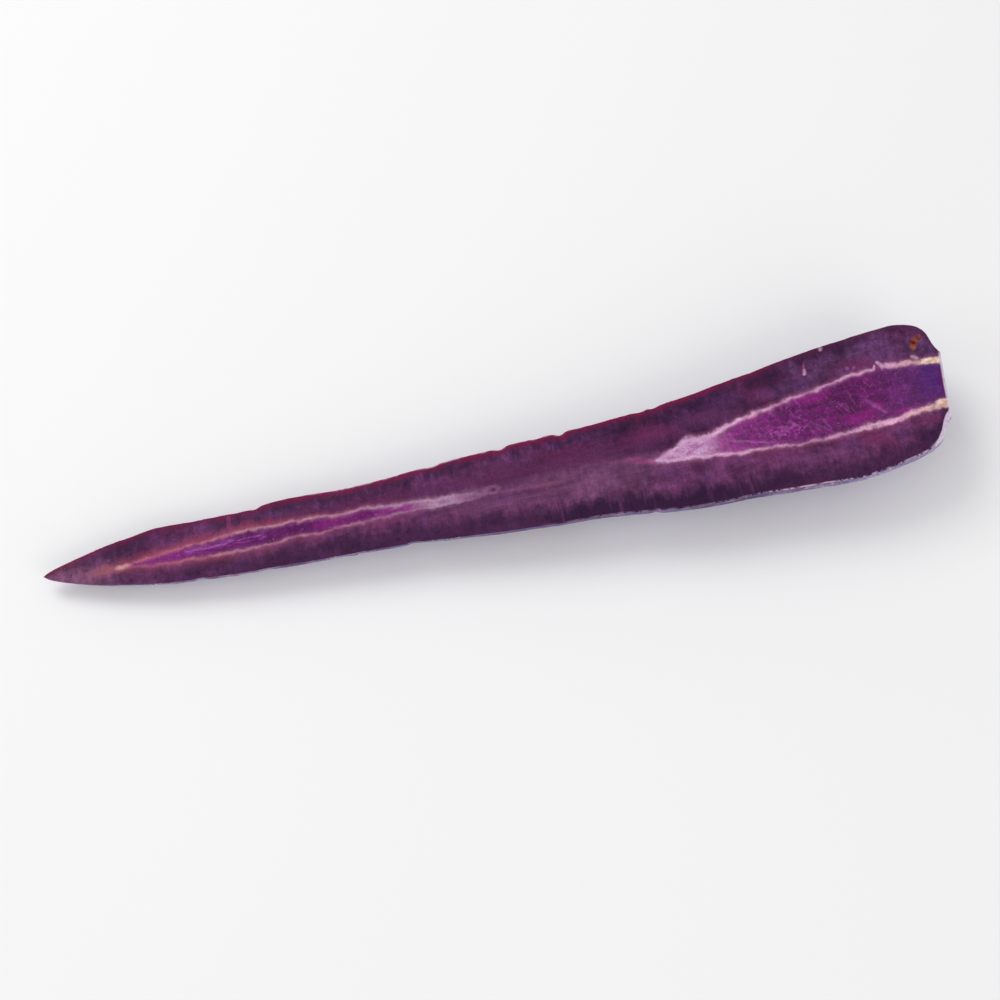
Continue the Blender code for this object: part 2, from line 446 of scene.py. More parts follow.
def growHalf():
    # One grid wrapped round the half: skin from its far edge round the keel, then the cut face back
    rows = rowStations()
    lastRow = len(rows) - 1
    columns = mesh["skinColumns"] + mesh["faceColumns"]
    half = bmesh.new()
    bmesh.ops.create_grid(half, x_segments=lastRow, y_segments=columns, size=1.0)
    marks = ("coreDist", "lineHalf", "lineShow", "rimDist", "scar", "crease")
    for name in marks:
        half.verts.layers.float.new(name)
    fleshPlace = half.verts.layers.float_vector.new("fleshPlace")
    bakeMap = half.loops.layers.uv.new("OFBake")
    layers = [half.verts.layers.float[name] for name in marks]
    layStrips(half, rows, bakeMap)

    rings = {}
    for point in half.verts:
        row, turn = [round(value) for value in gridPlace(point.co, lastRow)]
        rings.setdefault(row, []).append((turn, point))
    for row, points in rings.items():
        shapeRow(rows[row], points, layers, fleshPlace)
    bmesh.ops.remove_doubles(half, verts=half.verts, dist=mesh["mergeDistance"])
    return half, bakeMap


def trimCrown(half, bakeMap):
    # The knife's cut at the crown, closed with one flat face
    point = rootFrame.place(0.0, 0.0, 0.0)
    lean = root["trimLean"]
    normal = rootFrame.along * math.cos(lean) - Vector((0.0, 1.0, 0.0)) * math.sin(lean)
    everything = half.verts[:] + half.edges[:] + half.faces[:]
    bmesh.ops.bisect_plane(half, geom=everything, dist=mesh["mergeDistance"], plane_co=point,
                           plane_no=normal, clear_outer=True)
    openEdges = [edge for edge in half.edges if edge.is_boundary]
    closed = bmesh.ops.holes_fill(half, edges=openEdges, sides=0)
    start, shift = Vector(bakePlaces["crownStart"]), Vector(bakePlaces["crownShift"])
    for face in closed["faces"]:
        face.material_index = 2
        for loop in face.loops:
            spot = (loop.vert.co - point).yz / mm + shift
            loop[bakeMap].uv = start + spot * bakePlaces["crownPerMm"]


def finishMesh(name, source, materials):
    bmesh.ops.recalc_face_normals(source, faces=source.faces)
    data = bpy.data.meshes.new(name)
    source.to_mesh(data)
    source.free()
    for material in materials:
        data.materials.append(material)
    data.shade_smooth()
    data.set_sharp_from_angle(angle=mesh["sharpAngle"])
    piece = bpy.data.objects.new(name, data)
    bpy.context.scene.collection.objects.link(piece)
    return piece


def srgb(red, green, blue):
    # A colour as an eight-bit picture shows it, made linear
    def linear(level):
        part = level / 255
        return part / 12.92 if part <= 0.04045 else ((part + 0.055) / 1.055) ** 2.4
    return (linear(red), linear(green), linear(blue), 1.0)


class Wire:
    # A socket that does maths: an expression on wires adds its own nodes
    def __init__(self, sheet, socket):
        self.sheet = sheet
        self.socket = socket

    def maths(self, operation, first, second=0.0):
        return self.sheet.node("ShaderNodeMath", {"operation": operation}, {0: first, 1: second})

    def __add__(self, other):
        return self.maths("ADD", self, other)

    def __sub__(self, other):
        return self.maths("SUBTRACT", self, other)

    def __rsub__(self, other):
        return self.maths("SUBTRACT", other, self)

    def __mul__(self, other):
        return self.maths("MULTIPLY", self, other)

    def __abs__(self):
        return self.maths("ABSOLUTE", self)

    def top(self, other):
        return self.maths("MAXIMUM", self, other)

    __radd__ = __add__
    __rmul__ = __mul__


class Sheet:
    # One material, the nodes that it is made of, its palette and its colour so far
    def __init__(self, name, palette):
        self.palette = palette
        self.colour = None
        self.material = bpy.data.materials.new(name)
        self.material.use_nodes = True
        self.tree = self.material.node_tree

    def feed(self, socket, value):
        if isinstance(value, Wire):
            self.tree.links.new(value.socket, socket)
        else:
            socket.default_value = value

    def node(self, kind, settings=None, inputs=None, output=0):
        made = self.tree.nodes.new(kind)
        for key, value in (settings or {}).items():
            if key == "stops":
                self.setStops(made.color_ramp, value)
            else:
                setattr(made, key, value)
        for key, value in (inputs or {}).items():
            self.feed(made.inputs[key], value)
        return Wire(self, made.outputs[output])

    def setStops(self, ramp, stops):
        while len(ramp.elements) < len(stops):
            ramp.elements.new(1.0)
        for element, (place, colour) in zip(ramp.elements, stops):
            element.position = place
            element.color = colour

    def attribute(self, name, output="Fac"):
        return self.node("ShaderNodeAttribute", {"attribute_name": name}, output=output)

    def parts(self, vector):
        cut = self.node("ShaderNodeSeparateXYZ", None, {0: vector})
        return [Wire(self, cut.socket.node.outputs[axis]) for axis in range(3)]

    def vectorMaths(self, operation, inputs, output=0):
        return self.node("ShaderNodeVectorMath", {"operation": operation}, inputs, output)

    def scaled(self, vector, scale, shift=(0.0, 0.0, 0.0)):
        return self.vectorMaths("MULTIPLY_ADD", {0: vector, 1: scale, 2: shift})

    def noise(self, vector, scale, detail=3.0, roughness=0.55, shift=0.0):
        # Noise that reads a place in mm; scale is in waves to the mm, along, across and up
        place = self.scaled(vector, scale, (shift, shift, shift))
        return self.node("ShaderNodeTexNoise", None,
                         {"Vector": place, "Scale": 1.0, "Detail": detail, "Roughness": roughness})

    def cells(self, vector, scale, shift=0.0):
        place = self.scaled(vector, scale, (shift, shift, shift))
        return self.node("ShaderNodeTexVoronoi", {"feature": "F1"}, {"Vector": place, "Scale": 1.0})

    def shaken(self, vector, scale, amount):
        # The place, pushed a little every way by a noise
        place = self.scaled(vector, (scale, scale, scale))
        inputs = {"Vector": place, "Scale": 1.0, "Detail": 3.0}
        loose = self.node("ShaderNodeTexNoise", None, inputs, "Color")
        back = -amount / 2
        push = self.scaled(loose, (amount, amount, amount), (back, back, back))
        return self.vectorMaths("ADD", {0: vector, 1: push})

    def soft(self, value, low, high, start=0.0, end=1.0):
        # Goes smoothly from the start at low to the end at high, which may be the smaller one
        inputs = {"Value": value, "From Min": low, "From Max": high, "To Min": start, "To Max": end}
        return self.node("ShaderNodeMapRange", {"interpolation_type": "SMOOTHSTEP"}, inputs)

    def band(self, value, low, high, edge):
        return self.soft(value, low - edge, low + edge) * self.soft(value, high + edge, high - edge)

    def blend(self, mask, below, above):
        settings = {"data_type": "RGBA", "clamp_factor": True}
        return self.node("ShaderNodeMix", settings, {0: mask, 6: below, 7: above}, 2)

    def lay(self, tone, mask):
        # One of the palette's tones, laid over the colour where the mask shows it
        self.colour = self.blend(mask, self.colour, self.palette[tone])

    def shaded(self, colour, factor):
        return self.vectorMaths("MULTIPLY", {0: colour, 1: factor})

    def shade(self, factor):
        self.colour = self.shaded(self.colour, factor)

    def length(self, vector):
        return self.vectorMaths("LENGTH", {0: vector}, "Value")

    def oval(self, vector, centre, size):
        # Nothing at the centre, one on the rim of an oval with these half sizes
        scale = (1 / size[0], 1 / size[1], 0.0)
        shift = (-centre[0] / size[0], -centre[1] / size[1], 0.0)
        return self.length(self.scaled(vector, scale, shift))

    def stroke(self, vector, start, end, half):
        # A soft line between two places: one along its middle, nothing past its half width
        reach = (end[0] - start[0], end[1] - start[1], 0.0)
        square = reach[0] ** 2 + reach[1] ** 2
        place = self.scaled(vector, (1.0, 1.0, 0.0), (-start[0], -start[1], 0.0))
        share = self.vectorMaths("DOT_PRODUCT", {0: place, 1: reach}, "Value")
        settings = {"operation": "MULTIPLY", "use_clamp": True}
        kept = self.node("ShaderNodeMath", settings, {0: share, 1: 1 / square})
        nearest = self.vectorMaths("SCALE", {0: reach, "Scale": kept})
        gap = self.vectorMaths("SUBTRACT", {0: place, 1: nearest})
        return self.soft(self.length(gap), half * 1.6, half * 0.1)

    def finish(self, roughness, height=None):
        # Joins the colour, the roughness, the palette's gloss and any bump to the shader
        inputs = self.tree.nodes["Principled BSDF"].inputs
        self.feed(inputs["Base Color"], self.colour)
        self.feed(inputs["Roughness"], roughness)
        inputs["Specular IOR Level"].default_value = self.palette["gloss"]
        if height is not None:
            strength, depth = self.palette["bump"]
            relief = {"Strength": strength, "Distance": depth, "Height": height}
            self.feed(inputs["Normal"], self.node("ShaderNodeBump", None, relief))
        return self.material


flesh = {
    "dull": srgb(91, 48, 90),
    "dusty": srgb(95, 55, 99),
    "dusky": srgb(77, 38, 77),
    "warm": srgb(101, 52, 95),
    "mauve": srgb(110, 64, 102),
    "mauvePale": srgb(136, 88, 122),
    "tipMauve": srgb(128, 80, 112),
    "red": srgb(122, 44, 88),
    "winePlum": srgb(95, 41, 83),
    "blue": srgb(80, 50, 104),
    "rimDark": srgb(50, 26, 56),
    "spot": srgb(38, 18, 46),
    "wine": srgb(130, 26, 72),
    "rosyRim": srgb(214, 172, 194),
    "lilacRim": srgb(214, 196, 218),
    "glow": srgb(166, 72, 86),
    "coreViolet": srgb(70, 26, 104),
    "coreGrey": srgb(96, 33, 104),
    "corePlum": srgb(95, 13, 88),
    "tailPlum": srgb(94, 30, 91),
    "tailMagenta": srgb(110, 32, 102),
    "coreMagenta": srgb(111, 20, 104),
    "coreBright": srgb(154, 36, 132),
    "corePink": srgb(129, 38, 118),
    "coreRose": srgb(166, 88, 146),
    "coreDark": srgb(68, 22, 66),
    "coreLilac": srgb(178, 108, 180),
    "coreCrumb": srgb(170, 88, 164),
    "coreStrand": srgb(156, 84, 164),
    "cream": srgb(232, 202, 188),
    "tawny": srgb(198, 132, 100),
    "creamRose": srgb(220, 168, 174),
    "lilacPink": srgb(220, 164, 204),
    "lilacThin": srgb(202, 142, 188),
    "rosePink": srgb(206, 146, 166),
    "orangePink": srgb(198, 116, 122),
    "paleWedge": srgb(212, 166, 208),
    "wedgePink": srgb(170, 100, 158),
    "paleStreak": srgb(170, 136, 166),
    "duskyStreak": srgb(124, 84, 119),
    "sore": srgb(148, 80, 48),
    "soreDark": srgb(78, 16, 20),
    "dash": srgb(164, 72, 126),
    # Tones along the root, as (station, tone), for both sides of the core, the core and its pale lines
    "farTones": ((0.0, "dusty"), (34.0, "dusty"), (50.0, "dusky"), (86.0, "dusky"), (106.0, "dull"),
                 (170.0, "dull"), (180.0, "warm"), (192.0, "dusky"), (204.0, "mauve"), (210.0, "tipMauve")),
    "nearTones": ((0.0, "dull"), (16.0, "warm"), (66.0, "warm"), (78.0, "mauve"), (90.0, "mauve"),
                  (102.0, "warm"), (188.0, "warm"), (199.0, "mauve"), (208.0, "tipMauve")),
    "coreTones": ((0.0, "coreGrey"), (9.0, "coreGrey"), (18.0, "corePlum"), (27.0, "corePlum"),
                  (40.0, "coreMagenta"), (50.0, "corePink"), (57.0, "coreRose"), (66.0, "coreRose"),
                  (100.0, "corePink"), (129.0, "corePink"), (137.0, "tailMagenta"), (146.0, "tailMagenta"),
                  (154.0, "tailPlum"), (162.0, "tailPlum"), (176.0, "tailMagenta"), (190.0, "corePink")),
    "lineTones": ((0.0, "cream"), (3.4, "cream"), (6.5, "creamRose"), (11.5, "lilacPink"),
                  (24.0, "lilacPink"), (32.0, "lilacThin"), (46.0, "lilacPink"), (62.0, "paleWedge"),
                  (110.0, "duskyStreak"), (119.0, "paleStreak"), (134.0, "paleStreak"),
                  (146.0, "rosePink"), (168.0, "rosePink"), (182.0, "orangePink")),
    # Soft clouds of a tone, as (middle, half sizes, tone, strength)
    "flushes": (
        ((20.0, 11.4), (8.0, 2.2), "red", 0.45),
        ((19.5, -7.2), (6.5, 2.6), "red", 0.5),
        ((6.0, -5.6), (5.0, 1.8), "red", 0.35),
        ((71.0, 4.4), (11.0, 2.8), "red", 0.26),
        ((94.0, 4.4), (7.0, 1.8), "red", 0.16),
        ((96.0, -2.6), (4.0, 1.3), "glow", 0.12),
        ((39.5, 11.4), (7.0, 3.4), "spot", 0.6),
        ((57.5, 9.2), (3.6, 2.2), "spot", 0.6),
        ((56.0, 5.8), (13.0, 2.2), "warm", 0.5),
        ((112.0, -4.8), (8.0, 2.4), "mauve", 0.5),
        ((200.0, -1.4), (6.5, 1.8), "orangePink", 0.34),
        ((196.6, -1.5), (2.4, 0.7), "cream", 0.5),
        ((22.0, 14.8), (3.0, 2.4), "rimDark", 0.55),
        ((157.0, 5.4), (9.0, 1.4), "rimDark", 0.35),
        ((16.0, 2.4), (2.6, 2.0), "coreDark", 0.5),
        ((24.0, 3.6), (5.0, 2.6), "coreDark", 0.3),
        ((31.0, 5.4), (4.5, 1.5), "coreBright", 0.6),
        ((16.6, 0.2), (2.0, 1.6), "coreBright", 0.55),
        ((21.0, -1.6), (7.0, 1.8), "coreBright", 0.5),
        ((11.0, -2.3), (5.0, 0.9), "coreBright", 0.5),
        ((147.0, -1.0), (5.0, 1.4), "coreBright", 0.3),
        ((0.2, 3.0), (1.3, 4.4), "corePlum", 0.7),
    ),
    # Rootlet traces, sores and stray fibres, as (start, end, half width, tone, strength)
    "strokes": (
        ((170.2, 5.4), (170.5, 1.6), 0.5, "dash", 0.4),
        ((31.0, 13.9), (31.3, 12.2), 0.3, "dash", 0.7),
        ((31.3, 12.3), (31.4, 11.6), 0.42, "lilacPink", 0.75),
        ((14.1, 10.8), (13.4, 9.7), 0.45, "lilacPink", 0.75),
        ((15.0, 10.1), (15.5, 9.4), 0.28, "lilacPink", 0.7),
        ((5.9, 10.4), (4.9, 9.9), 0.4, "rosyRim", 0.55),
        ((52.0, -0.9), (47.0, -2.3), 0.3, "coreLilac", 0.5),
        ((47.0, -2.4), (42.0, -3.6), 0.24, "coreLilac", 0.4),
        ((70.5, -2.4), (76.0, -0.7), 0.8, "dash", 0.4),
        ((75.0, -0.8), (82.0, -0.2), 0.7, "dash", 0.12),
        ((37.0, 2.4), (33.6, 0.2), 0.28, "coreLilac", 0.12),
        ((32.4, -0.6), (28.6, -3.6), 0.28, "coreLilac", 0.16),
        ((18.6, 2.0), (17.2, 0.4), 0.5, "coreLilac", 0.22),
        ((17.2, 0.6), (15.2, -1.6), 0.5, "coreLilac", 0.36),
        ((21.4, 10.9), (21.3, 10.6), 0.4, "coreLilac", 0.45),
        ((19.9, 10.8), (19.9, 10.5), 0.36, "coreLilac", 0.45),
        ((26.4, 17.1), (26.4, 16.8), 0.45, "rosyRim", 0.7),
        ((5.2, 14.0), (4.6, 13.7), 0.66, "soreDark", 1.0),
        ((3.6, 15.0), (3.3, 14.6), 0.5, "soreDark", 0.9),
    ),
    # Other places, as (middle, half sizes) or (start, end, half width)
    "wisps": ((38.5, -1.0), (9.0, 2.8)),
    "eye": ((108.6, -1.1), (1.5, 0.8)),
    "pupil": ((108.4, -1.15), (0.6, 0.42)),
    "violetStrands": ((163.0, -0.7), (181.0, -1.0), 0.75),
    "soreStrokes": (((5.1, 13.0), (4.4, 14.0), 1.1), ((4.4, 14.2), (3.3, 15.0), 0.75)),
    "fibreTurn": -1.1,                # turns the slanting fibres of the core onto one axis, in radians
    "roughness": (0.37, 0.59),
    "gloss": 0.05,
    "bump": (0.5, 0.00025),           # strength, and depth in m
}


class FleshSheet(Sheet):
    # Places and distances that every layer of the cut flesh reads, in mm
    def __init__(self):
        super().__init__("cutFlesh", flesh)
        self.place = self.attribute("fleshPlace", "Vector")
        self.warped = self.shaken(self.place, 0.6, 0.8)
        self.station, self.across, _ = self.parts(self.warped)
        self.ragged = self.noise(self.place, (0.3, 0.2, 0.3), 5.0, 0.65, 6.0) - 0.5
        self.ripple = self.noise(self.place, (0.6, 0.5, 0.6), 2.0, 0.45) - 0.5
        self.coreDist = self.attribute("coreDist") + self.ripple * 1.1
        self.rimDist = self.attribute("rimDist")
        self.farSide = self.soft(self.across, -1.0, 1.0)
        self.nearSide = 1.0 - self.farSide
        self.inside = 1.0 - self.soft(self.coreDist, -0.1, 0.15)

    def tones(self, key):
        # A colour that changes with the station
        span = root["length"]
        stops = [(place / span, flesh[tone]) for place, tone in flesh[key]]
        return self.node("ShaderNodeValToRGB", {"stops": stops}, {0: self.station * (1 / span)})


def cortexTone(sheet):
    # Dull purple in clouds and rays, dark in tongues towards the skin and redder by the core
    place, station, across, ragged = sheet.place, sheet.station, sheet.across, sheet.ragged
    sheet.colour = sheet.blend(sheet.farSide, sheet.tones("nearTones"), sheet.tones("farTones"))
    clouds = sheet.noise(place, (0.1, 0.2, 0.2), 5.0, 0.62)
    sheet.shade(sheet.soft(clouds, 0.34, 0.66, 0.56, 1.26))
    patches = sheet.noise(place, (0.5, 0.36, 0.4), 5.0, 0.7, 9.0)
    sheet.shade(sheet.soft(patches, 0.34, 0.66, 0.76, 1.2))
    rays = sheet.noise(place, (0.8, 0.08, 0.3), 4.0, 0.6, 12.0)
    sheet.shade(sheet.soft(rays, 0.3, 0.7, 0.84, 1.14))
    reds = sheet.noise(place, (0.08, 0.14, 0.2), 4.0, 0.55, 15.0)
    sheet.lay("red", sheet.soft(reds, 0.5, 0.7) * 0.3)
    blues = sheet.noise(place, (0.14, 0.16, 0.2), 3.0, 0.55, 27.0)
    middle = sheet.farSide * sheet.band(station, 74.0, 150.0, 12.0)
    sheet.lay("blue", sheet.soft(blues, 0.5, 0.7) * (1.0 - middle * 0.85) * 0.3)
    strands = sheet.noise(place, (0.05, 0.7, 0.4), 4.0, 0.6, 66.0)
    wash = middle * sheet.soft(across + ragged * 2.0, 6.5, 2.5)
    sheet.lay("winePlum", wash * sheet.soft(strands, 0.36, 0.62, 0.25, 0.75))

    # Where the knife passed beside the core its bark shows as a paler, browner band
    centre = sheet.band(across + ragged * 2.0, -6.4, 0.2, 1.8) * sheet.band(station, 70.0, 118.0, 9.0)
    sheet.lay("mauve", centre * 0.35)
    flakes = sheet.noise(place, (0.3, 0.4, 0.3), 5.0, 0.7, 44.0)
    sheet.lay("mauvePale", centre * sheet.soft(flakes, 0.5, 0.7) * 0.2)
    sheet.lay("mauvePale", centre * sheet.soft(strands, 0.5, 0.66) * 0.3)
    sheet.lay("dusky", centre * sheet.soft(strands, 0.48, 0.34) * 0.45)

    tongues = sheet.noise(place, (0.42, 0.12, 0.2), 5.0, 0.65, 31.0) - 0.5
    farDepth = sheet.rimDist + tongues * 11.0
    darkFar = sheet.soft(farDepth, 3.8, 0.6) * sheet.farSide
    darkFar = darkFar * sheet.soft(station, 165.0, 115.0, 0.5, 0.8)
    darkFar = darkFar * sheet.soft(station, 2.0, 30.0, 0.5, 1.0)
    nearDepth = sheet.rimDist + tongues * 8.0
    darkNear = sheet.soft(nearDepth, 6.0, 2.4) * sheet.nearSide
    darkNear = darkNear * sheet.soft(station, 205.0, 150.0, 0.2, 0.7)
    darkNear = darkNear + darkNear * sheet.band(station, 48.0, 96.0, 8.0) * 0.36
    sheet.lay("rimDark", darkFar.top(darkNear))
    spots = sheet.noise(place, (0.55, 0.5, 0.5), 5.0, 0.72, 36.0)
    byRim = sheet.soft(sheet.rimDist, 8.0, 1.5)
    sheet.lay("spot", sheet.soft(spots, 0.55, 0.68) * byRim * 0.6)

    # Rays that run in from the near rim
    rayMask = sheet.nearSide * sheet.soft(sheet.rimDist + tongues * 5.0, 7.0, 4.5)
    rayMask = rayMask * sheet.band(station, 44.0, 98.0, 6.0)
    paleRays = sheet.noise(place, (0.42, 0.06, 0.3), 3.0, 0.6, 52.0)
    sheet.lay("warm", sheet.soft(paleRays, 0.54, 0.7) * rayMask * 0.6)
    fineRays = sheet.noise(place, (1.1, 0.14, 0.3), 3.0, 0.6, 18.0)
    sheet.lay("spot", sheet.soft(fineRays, 0.5, 0.7) * rayMask * 0.4)

    # Rosy flesh beside the core, glowing orange towards the tip
    byCore = sheet.soft(sheet.coreDist + ragged * 2.6, 2.2, 0.1)
    rosyAlong = 1.0 - sheet.band(station, 64.0, 126.0, 6.0)
    sheet.lay("red", byCore * rosyAlong * 0.42)
    glowing = sheet.soft(sheet.coreDist + ragged * 3.0, 3.0, 0.1)
    glowing = glowing * sheet.soft(station, 143.0, 165.0)
    fading = sheet.soft(station, 206.0, 192.0, 0.2, 1.0) * sheet.soft(across, -2.0, 0.5, 0.4, 1.0)
    sheet.lay("glow", glowing * fading * 0.4)
    return sheet.colour


def coreTone(sheet):
    # Magenta with pale threads, violet at the crown
    place, station, ragged = sheet.place, sheet.station, sheet.ragged
    sheet.colour = sheet.tones("coreTones")
    clouds = sheet.noise(place, (0.2, 0.45, 0.5), 5.0, 0.65, 4.0)
    calm = sheet.soft(station, 128.0, 140.0, 0.0, 0.55)
    cloudy = sheet.soft(clouds, 0.34, 0.66, 0.6, 1.3)
    sheet.shade(cloudy + (1.0 - cloudy) * calm)
    rays = sheet.noise(place, (0.9, 0.16, 0.3), 4.0, 0.65, 12.0)
    sheet.shade(sheet.soft(rays, 0.3, 0.7, 0.8, 1.2))
    crumbs = sheet.noise(place, (1.0, 1.1, 0.6), 5.0, 0.7, 21.0)
    sheet.lay("coreDark", sheet.soft(crumbs, 0.45, 0.31) * 0.7)
    wispy = sheet.soft(sheet.oval(sheet.warped, *flesh["wisps"]), 1.1, 0.2)
    lift = wispy * 0.12 + ragged * 0.1
    sheet.lay("coreCrumb", sheet.soft(crumbs + lift, 0.58, 0.7) * 0.6)

    # Fibres that slant across from the far line
    inputs = {"Vector": sheet.warped, "Angle": flesh["fibreTurn"]}
    turned = sheet.node("ShaderNodeVectorRotate", {"rotation_type": "Z_AXIS"}, inputs)
    feather = sheet.noise(turned, (0.2, 1.1, 0.5), 4.0, 0.6, 17.0)
    feathered = sheet.band(station, 15.0, 52.0, 7.0)
    sheet.lay("coreDark", sheet.soft(feather, 0.44, 0.32) * feathered * 0.4)
    sheet.lay("coreCrumb", sheet.soft(feather, 0.55, 0.68) * feathered * 0.4)
    winding = sheet.noise(sheet.warped, (0.3, 0.55, 0.5), 2.0, 0.5, 50.0)
    threads = sheet.soft(abs(winding - 0.5), 0.012, 0.0)
    sheet.lay("coreLilac", threads * sheet.band(station, 6.0, 54.0, 6.0) * 0.24)
    violet = sheet.soft(station + ragged * 9.0, 8.5, 3.0)
    violet = violet * sheet.soft(sheet.across + ragged * 3.0, -2.0, 1.5)
    sheet.lay("coreViolet", violet * 0.85)
    strands = sheet.noise(place, (0.3, 1.6, 0.5), 4.0, 0.6, 24.0)
    violetStrands = sheet.stroke(sheet.warped, *flesh["violetStrands"]) * sheet.soft(strands, 0.4, 0.62)
    sheet.lay("coreStrand", violetStrands * 0.85)

    # The pale wedge where the crown's lens closes, and the pale streak where the tail's begins
    mottle = sheet.noise(place, (0.42, 0.7, 0.5), 4.0, 0.65, 60.0)
    mottle = mottle + (sheet.across + 1.2) * 0.012
    wedge = sheet.soft(station + ragged * 7.0, 53.5, 59.0) * sheet.soft(station, 80.0, 70.0)
    sheet.lay("paleWedge", wedge * 0.95)
    sheet.lay("wedgePink", wedge * sheet.soft(mottle, 0.44, 0.6) * 0.82)
    streak = sheet.soft(station + ragged * 8.0, 131.0, 123.0) * sheet.soft(station, 100.0, 112.0, 0.2, 1.0)
    tone = sheet.blend(sheet.soft(station, 112.5, 119.5), flesh["duskyStreak"], flesh["paleStreak"])
    return sheet.blend(streak * sheet.soft(mottle, 0.36, 0.62, 0.95, 0.5), sheet.colour, tone)


def paleLines(sheet):
    # The pale line round the core, with a soft rosy halo; hands back where the line shows
    show = sheet.attribute("lineShow")
    broken = sheet.noise(sheet.place, (0.4, 0.5, 0.4), 2.0, 0.45, 70.0)
    half = sheet.attribute("lineHalf") * sheet.soft(broken, 0.34, 0.66, 0.72, 1.35)
    off = abs(sheet.coreDist) - half
    halo = sheet.soft(off, 1.1, -0.1) * show
    sheet.lay("rosePink", halo * 0.16)
    line = sheet.soft(off, 0.42, -0.5) * show * sheet.soft(broken, 0.32, 0.54, 0.64, 1.0)
    stains = sheet.noise(sheet.place, (0.5, 0.8, 0.6), 3.0, 0.6, 74.0)
    tawny = sheet.soft(stains, 0.44, 0.6) * sheet.soft(sheet.station, 5.5, 2.0)
    warm = sheet.nearSide * sheet.soft(sheet.station, 28.0, 16.0)
    tone = sheet.blend(warm * 0.25, sheet.tones("lineTones"), flesh["creamRose"])
    tone = sheet.blend(tawny * 0.45, tone, flesh["tawny"])
    tone = sheet.shaded(tone, sheet.soft(stains, 0.3, 0.66, 1.16, 0.86))
    sheet.colour = sheet.blend(line, sheet.colour, tone)
    return line


def rimTones(sheet):
    # The skin's own edge: wine red on the far side, a broken pale thread on the near side and at the crown,
    # and a painted rosy highlight along the middle of the far rim
    ragged, rim, station = sheet.ragged, sheet.rimDist, sheet.station
    winy = sheet.soft(station, 24.0, 62.0, 0.2, 1.0) * sheet.farSide
    winy = winy * sheet.soft(station, 150.0, 180.0, 1.0, 0.6)
    sheet.lay("wine", sheet.soft(rim + ragged * 2.4, 2.2, 0.2) * winy * 0.5)
    sheet.lay("wine", sheet.soft(rim + ragged * 1.6, 0.8, 0.0) * winy * 0.7)
    # painted highlight: a rosy glint laid along the far rim's very edge between stations 92 and 150
    rimHighlight = sheet.soft(rim, 0.4, 0.05) * sheet.farSide * sheet.band(station, 92.0, 150.0, 8.0)
    sheet.lay("rosyRim", rimHighlight * sheet.soft(ragged, -0.1, 0.1) * 0.6)
    broken = sheet.soft(sheet.noise(sheet.place, (0.5, 0.3, 0.3), 4.0, 0.7, 80.0), 0.4, 0.55)
    thread = sheet.soft(rim, 0.5, 0.14) * sheet.nearSide
    alongRim = sheet.band(station, 4.0, 48.0, 5.0) + sheet.band(station, 48.0, 96.0, 6.0) * 0.3
    sheet.lay("rosyRim", thread * alongRim * broken * 0.8)
    reach = sheet.soft(station, 7.0, 3.0, 0.3, 1.6)
    corner = sheet.soft(rim + ragged * 0.8 - reach, 0.6, 0.0) * sheet.nearSide
    sheet.lay("lilacRim", corner * sheet.soft(station, 7.5, 5.0) * 0.9)
    lean = root["trimLean"]
    straight, aside, _ = sheet.parts(sheet.place)
    fromTrim = straight * math.cos(lean) + aside * math.sin(lean)
    trim = sheet.soft(fromTrim + ragged * 0.3, 0.7, 0.25) * sheet.soft(sheet.across, 11.5, 9.0)
    sheet.lay("lilacRim", trim * 0.85)


def singleMarks(sheet):
    # The sore by the crown, rootlet traces and stray fibres, and the eye where the pale streak begins
    loose = sheet.noise(sheet.place, (0.9, 0.9, 0.9), 3.0, 0.6, 90.0)
    uneven = sheet.soft(loose, 0.32, 0.54, 0.4, 1.0)
    lower, upper = [sheet.stroke(sheet.warped, *stroke) for stroke in flesh["soreStrokes"]]
    sore = lower.top(upper) + (loose - 0.5) * 1.2
    sheet.lay("sore", sheet.soft(sore, 0.2, 1.1) * 0.92)
    for start, end, half, tone, strength in flesh["strokes"]:
        mask = sheet.stroke(sheet.warped, start, end, half) * uneven
        sheet.lay(tone, mask * strength)
    eye = sheet.oval(sheet.warped, *flesh["eye"]) + sheet.ragged * 0.8
    sheet.lay("paleStreak", sheet.soft(abs(eye - 1.0), 0.7, 0.1) * 0.16)
    pupil = sheet.oval(sheet.warped, *flesh["pupil"])
    sheet.lay("coreDark", sheet.soft(pupil, 1.25, 0.4) * 0.6)


def fleshMaterial():
    sheet = FleshSheet()
    place = sheet.place
    sheet.colour = sheet.blend(sheet.inside, cortexTone(sheet), coreTone(sheet))
    for middle, size, tone, strength in flesh["flushes"]:
        mask = sheet.soft(sheet.oval(sheet.warped, middle, size) + sheet.ragged * 1.6, 1.1, 0.1)
        sheet.lay(tone, mask * strength)
    line = paleLines(sheet)
    rimTones(sheet)
    singleMarks(sheet)
    grain = sheet.noise(place, (1.9, 1.5, 1.9), 5.0, 0.7, 3.0)
    sheet.shade(sheet.soft(grain, 0.25, 0.75, 0.78, 1.16))

    damp = sheet.noise(place, (0.25, 0.4, 0.4), 4.0, 0.6, 40.0)
    roughness = sheet.soft(damp, 0.3, 0.7, *flesh["roughness"])
    fibre = sheet.noise(place, (0.4, 2.2, 1.0), 5.0, 0.65, 4.0)
    height = fibre * sheet.soft(sheet.coreDist, -0.4, 0.2, 1.0, 0.2) + grain * 0.5 + line * 0.2
    return sheet.finish(roughness, height)


rind = {
    "deep": srgb(78, 56, 106),
    "violet": srgb(114, 90, 148),
    "plum": srgb(116, 64, 112),
    "dusk": srgb(60, 42, 80),
    "bloom": srgb(172, 158, 198),
    "chalk": srgb(216, 206, 228),
    "slit": srgb(194, 176, 154),
    "roughness": 0.6,
    "gloss": 0.25,
    "bump": (0.6, 0.0003),
}


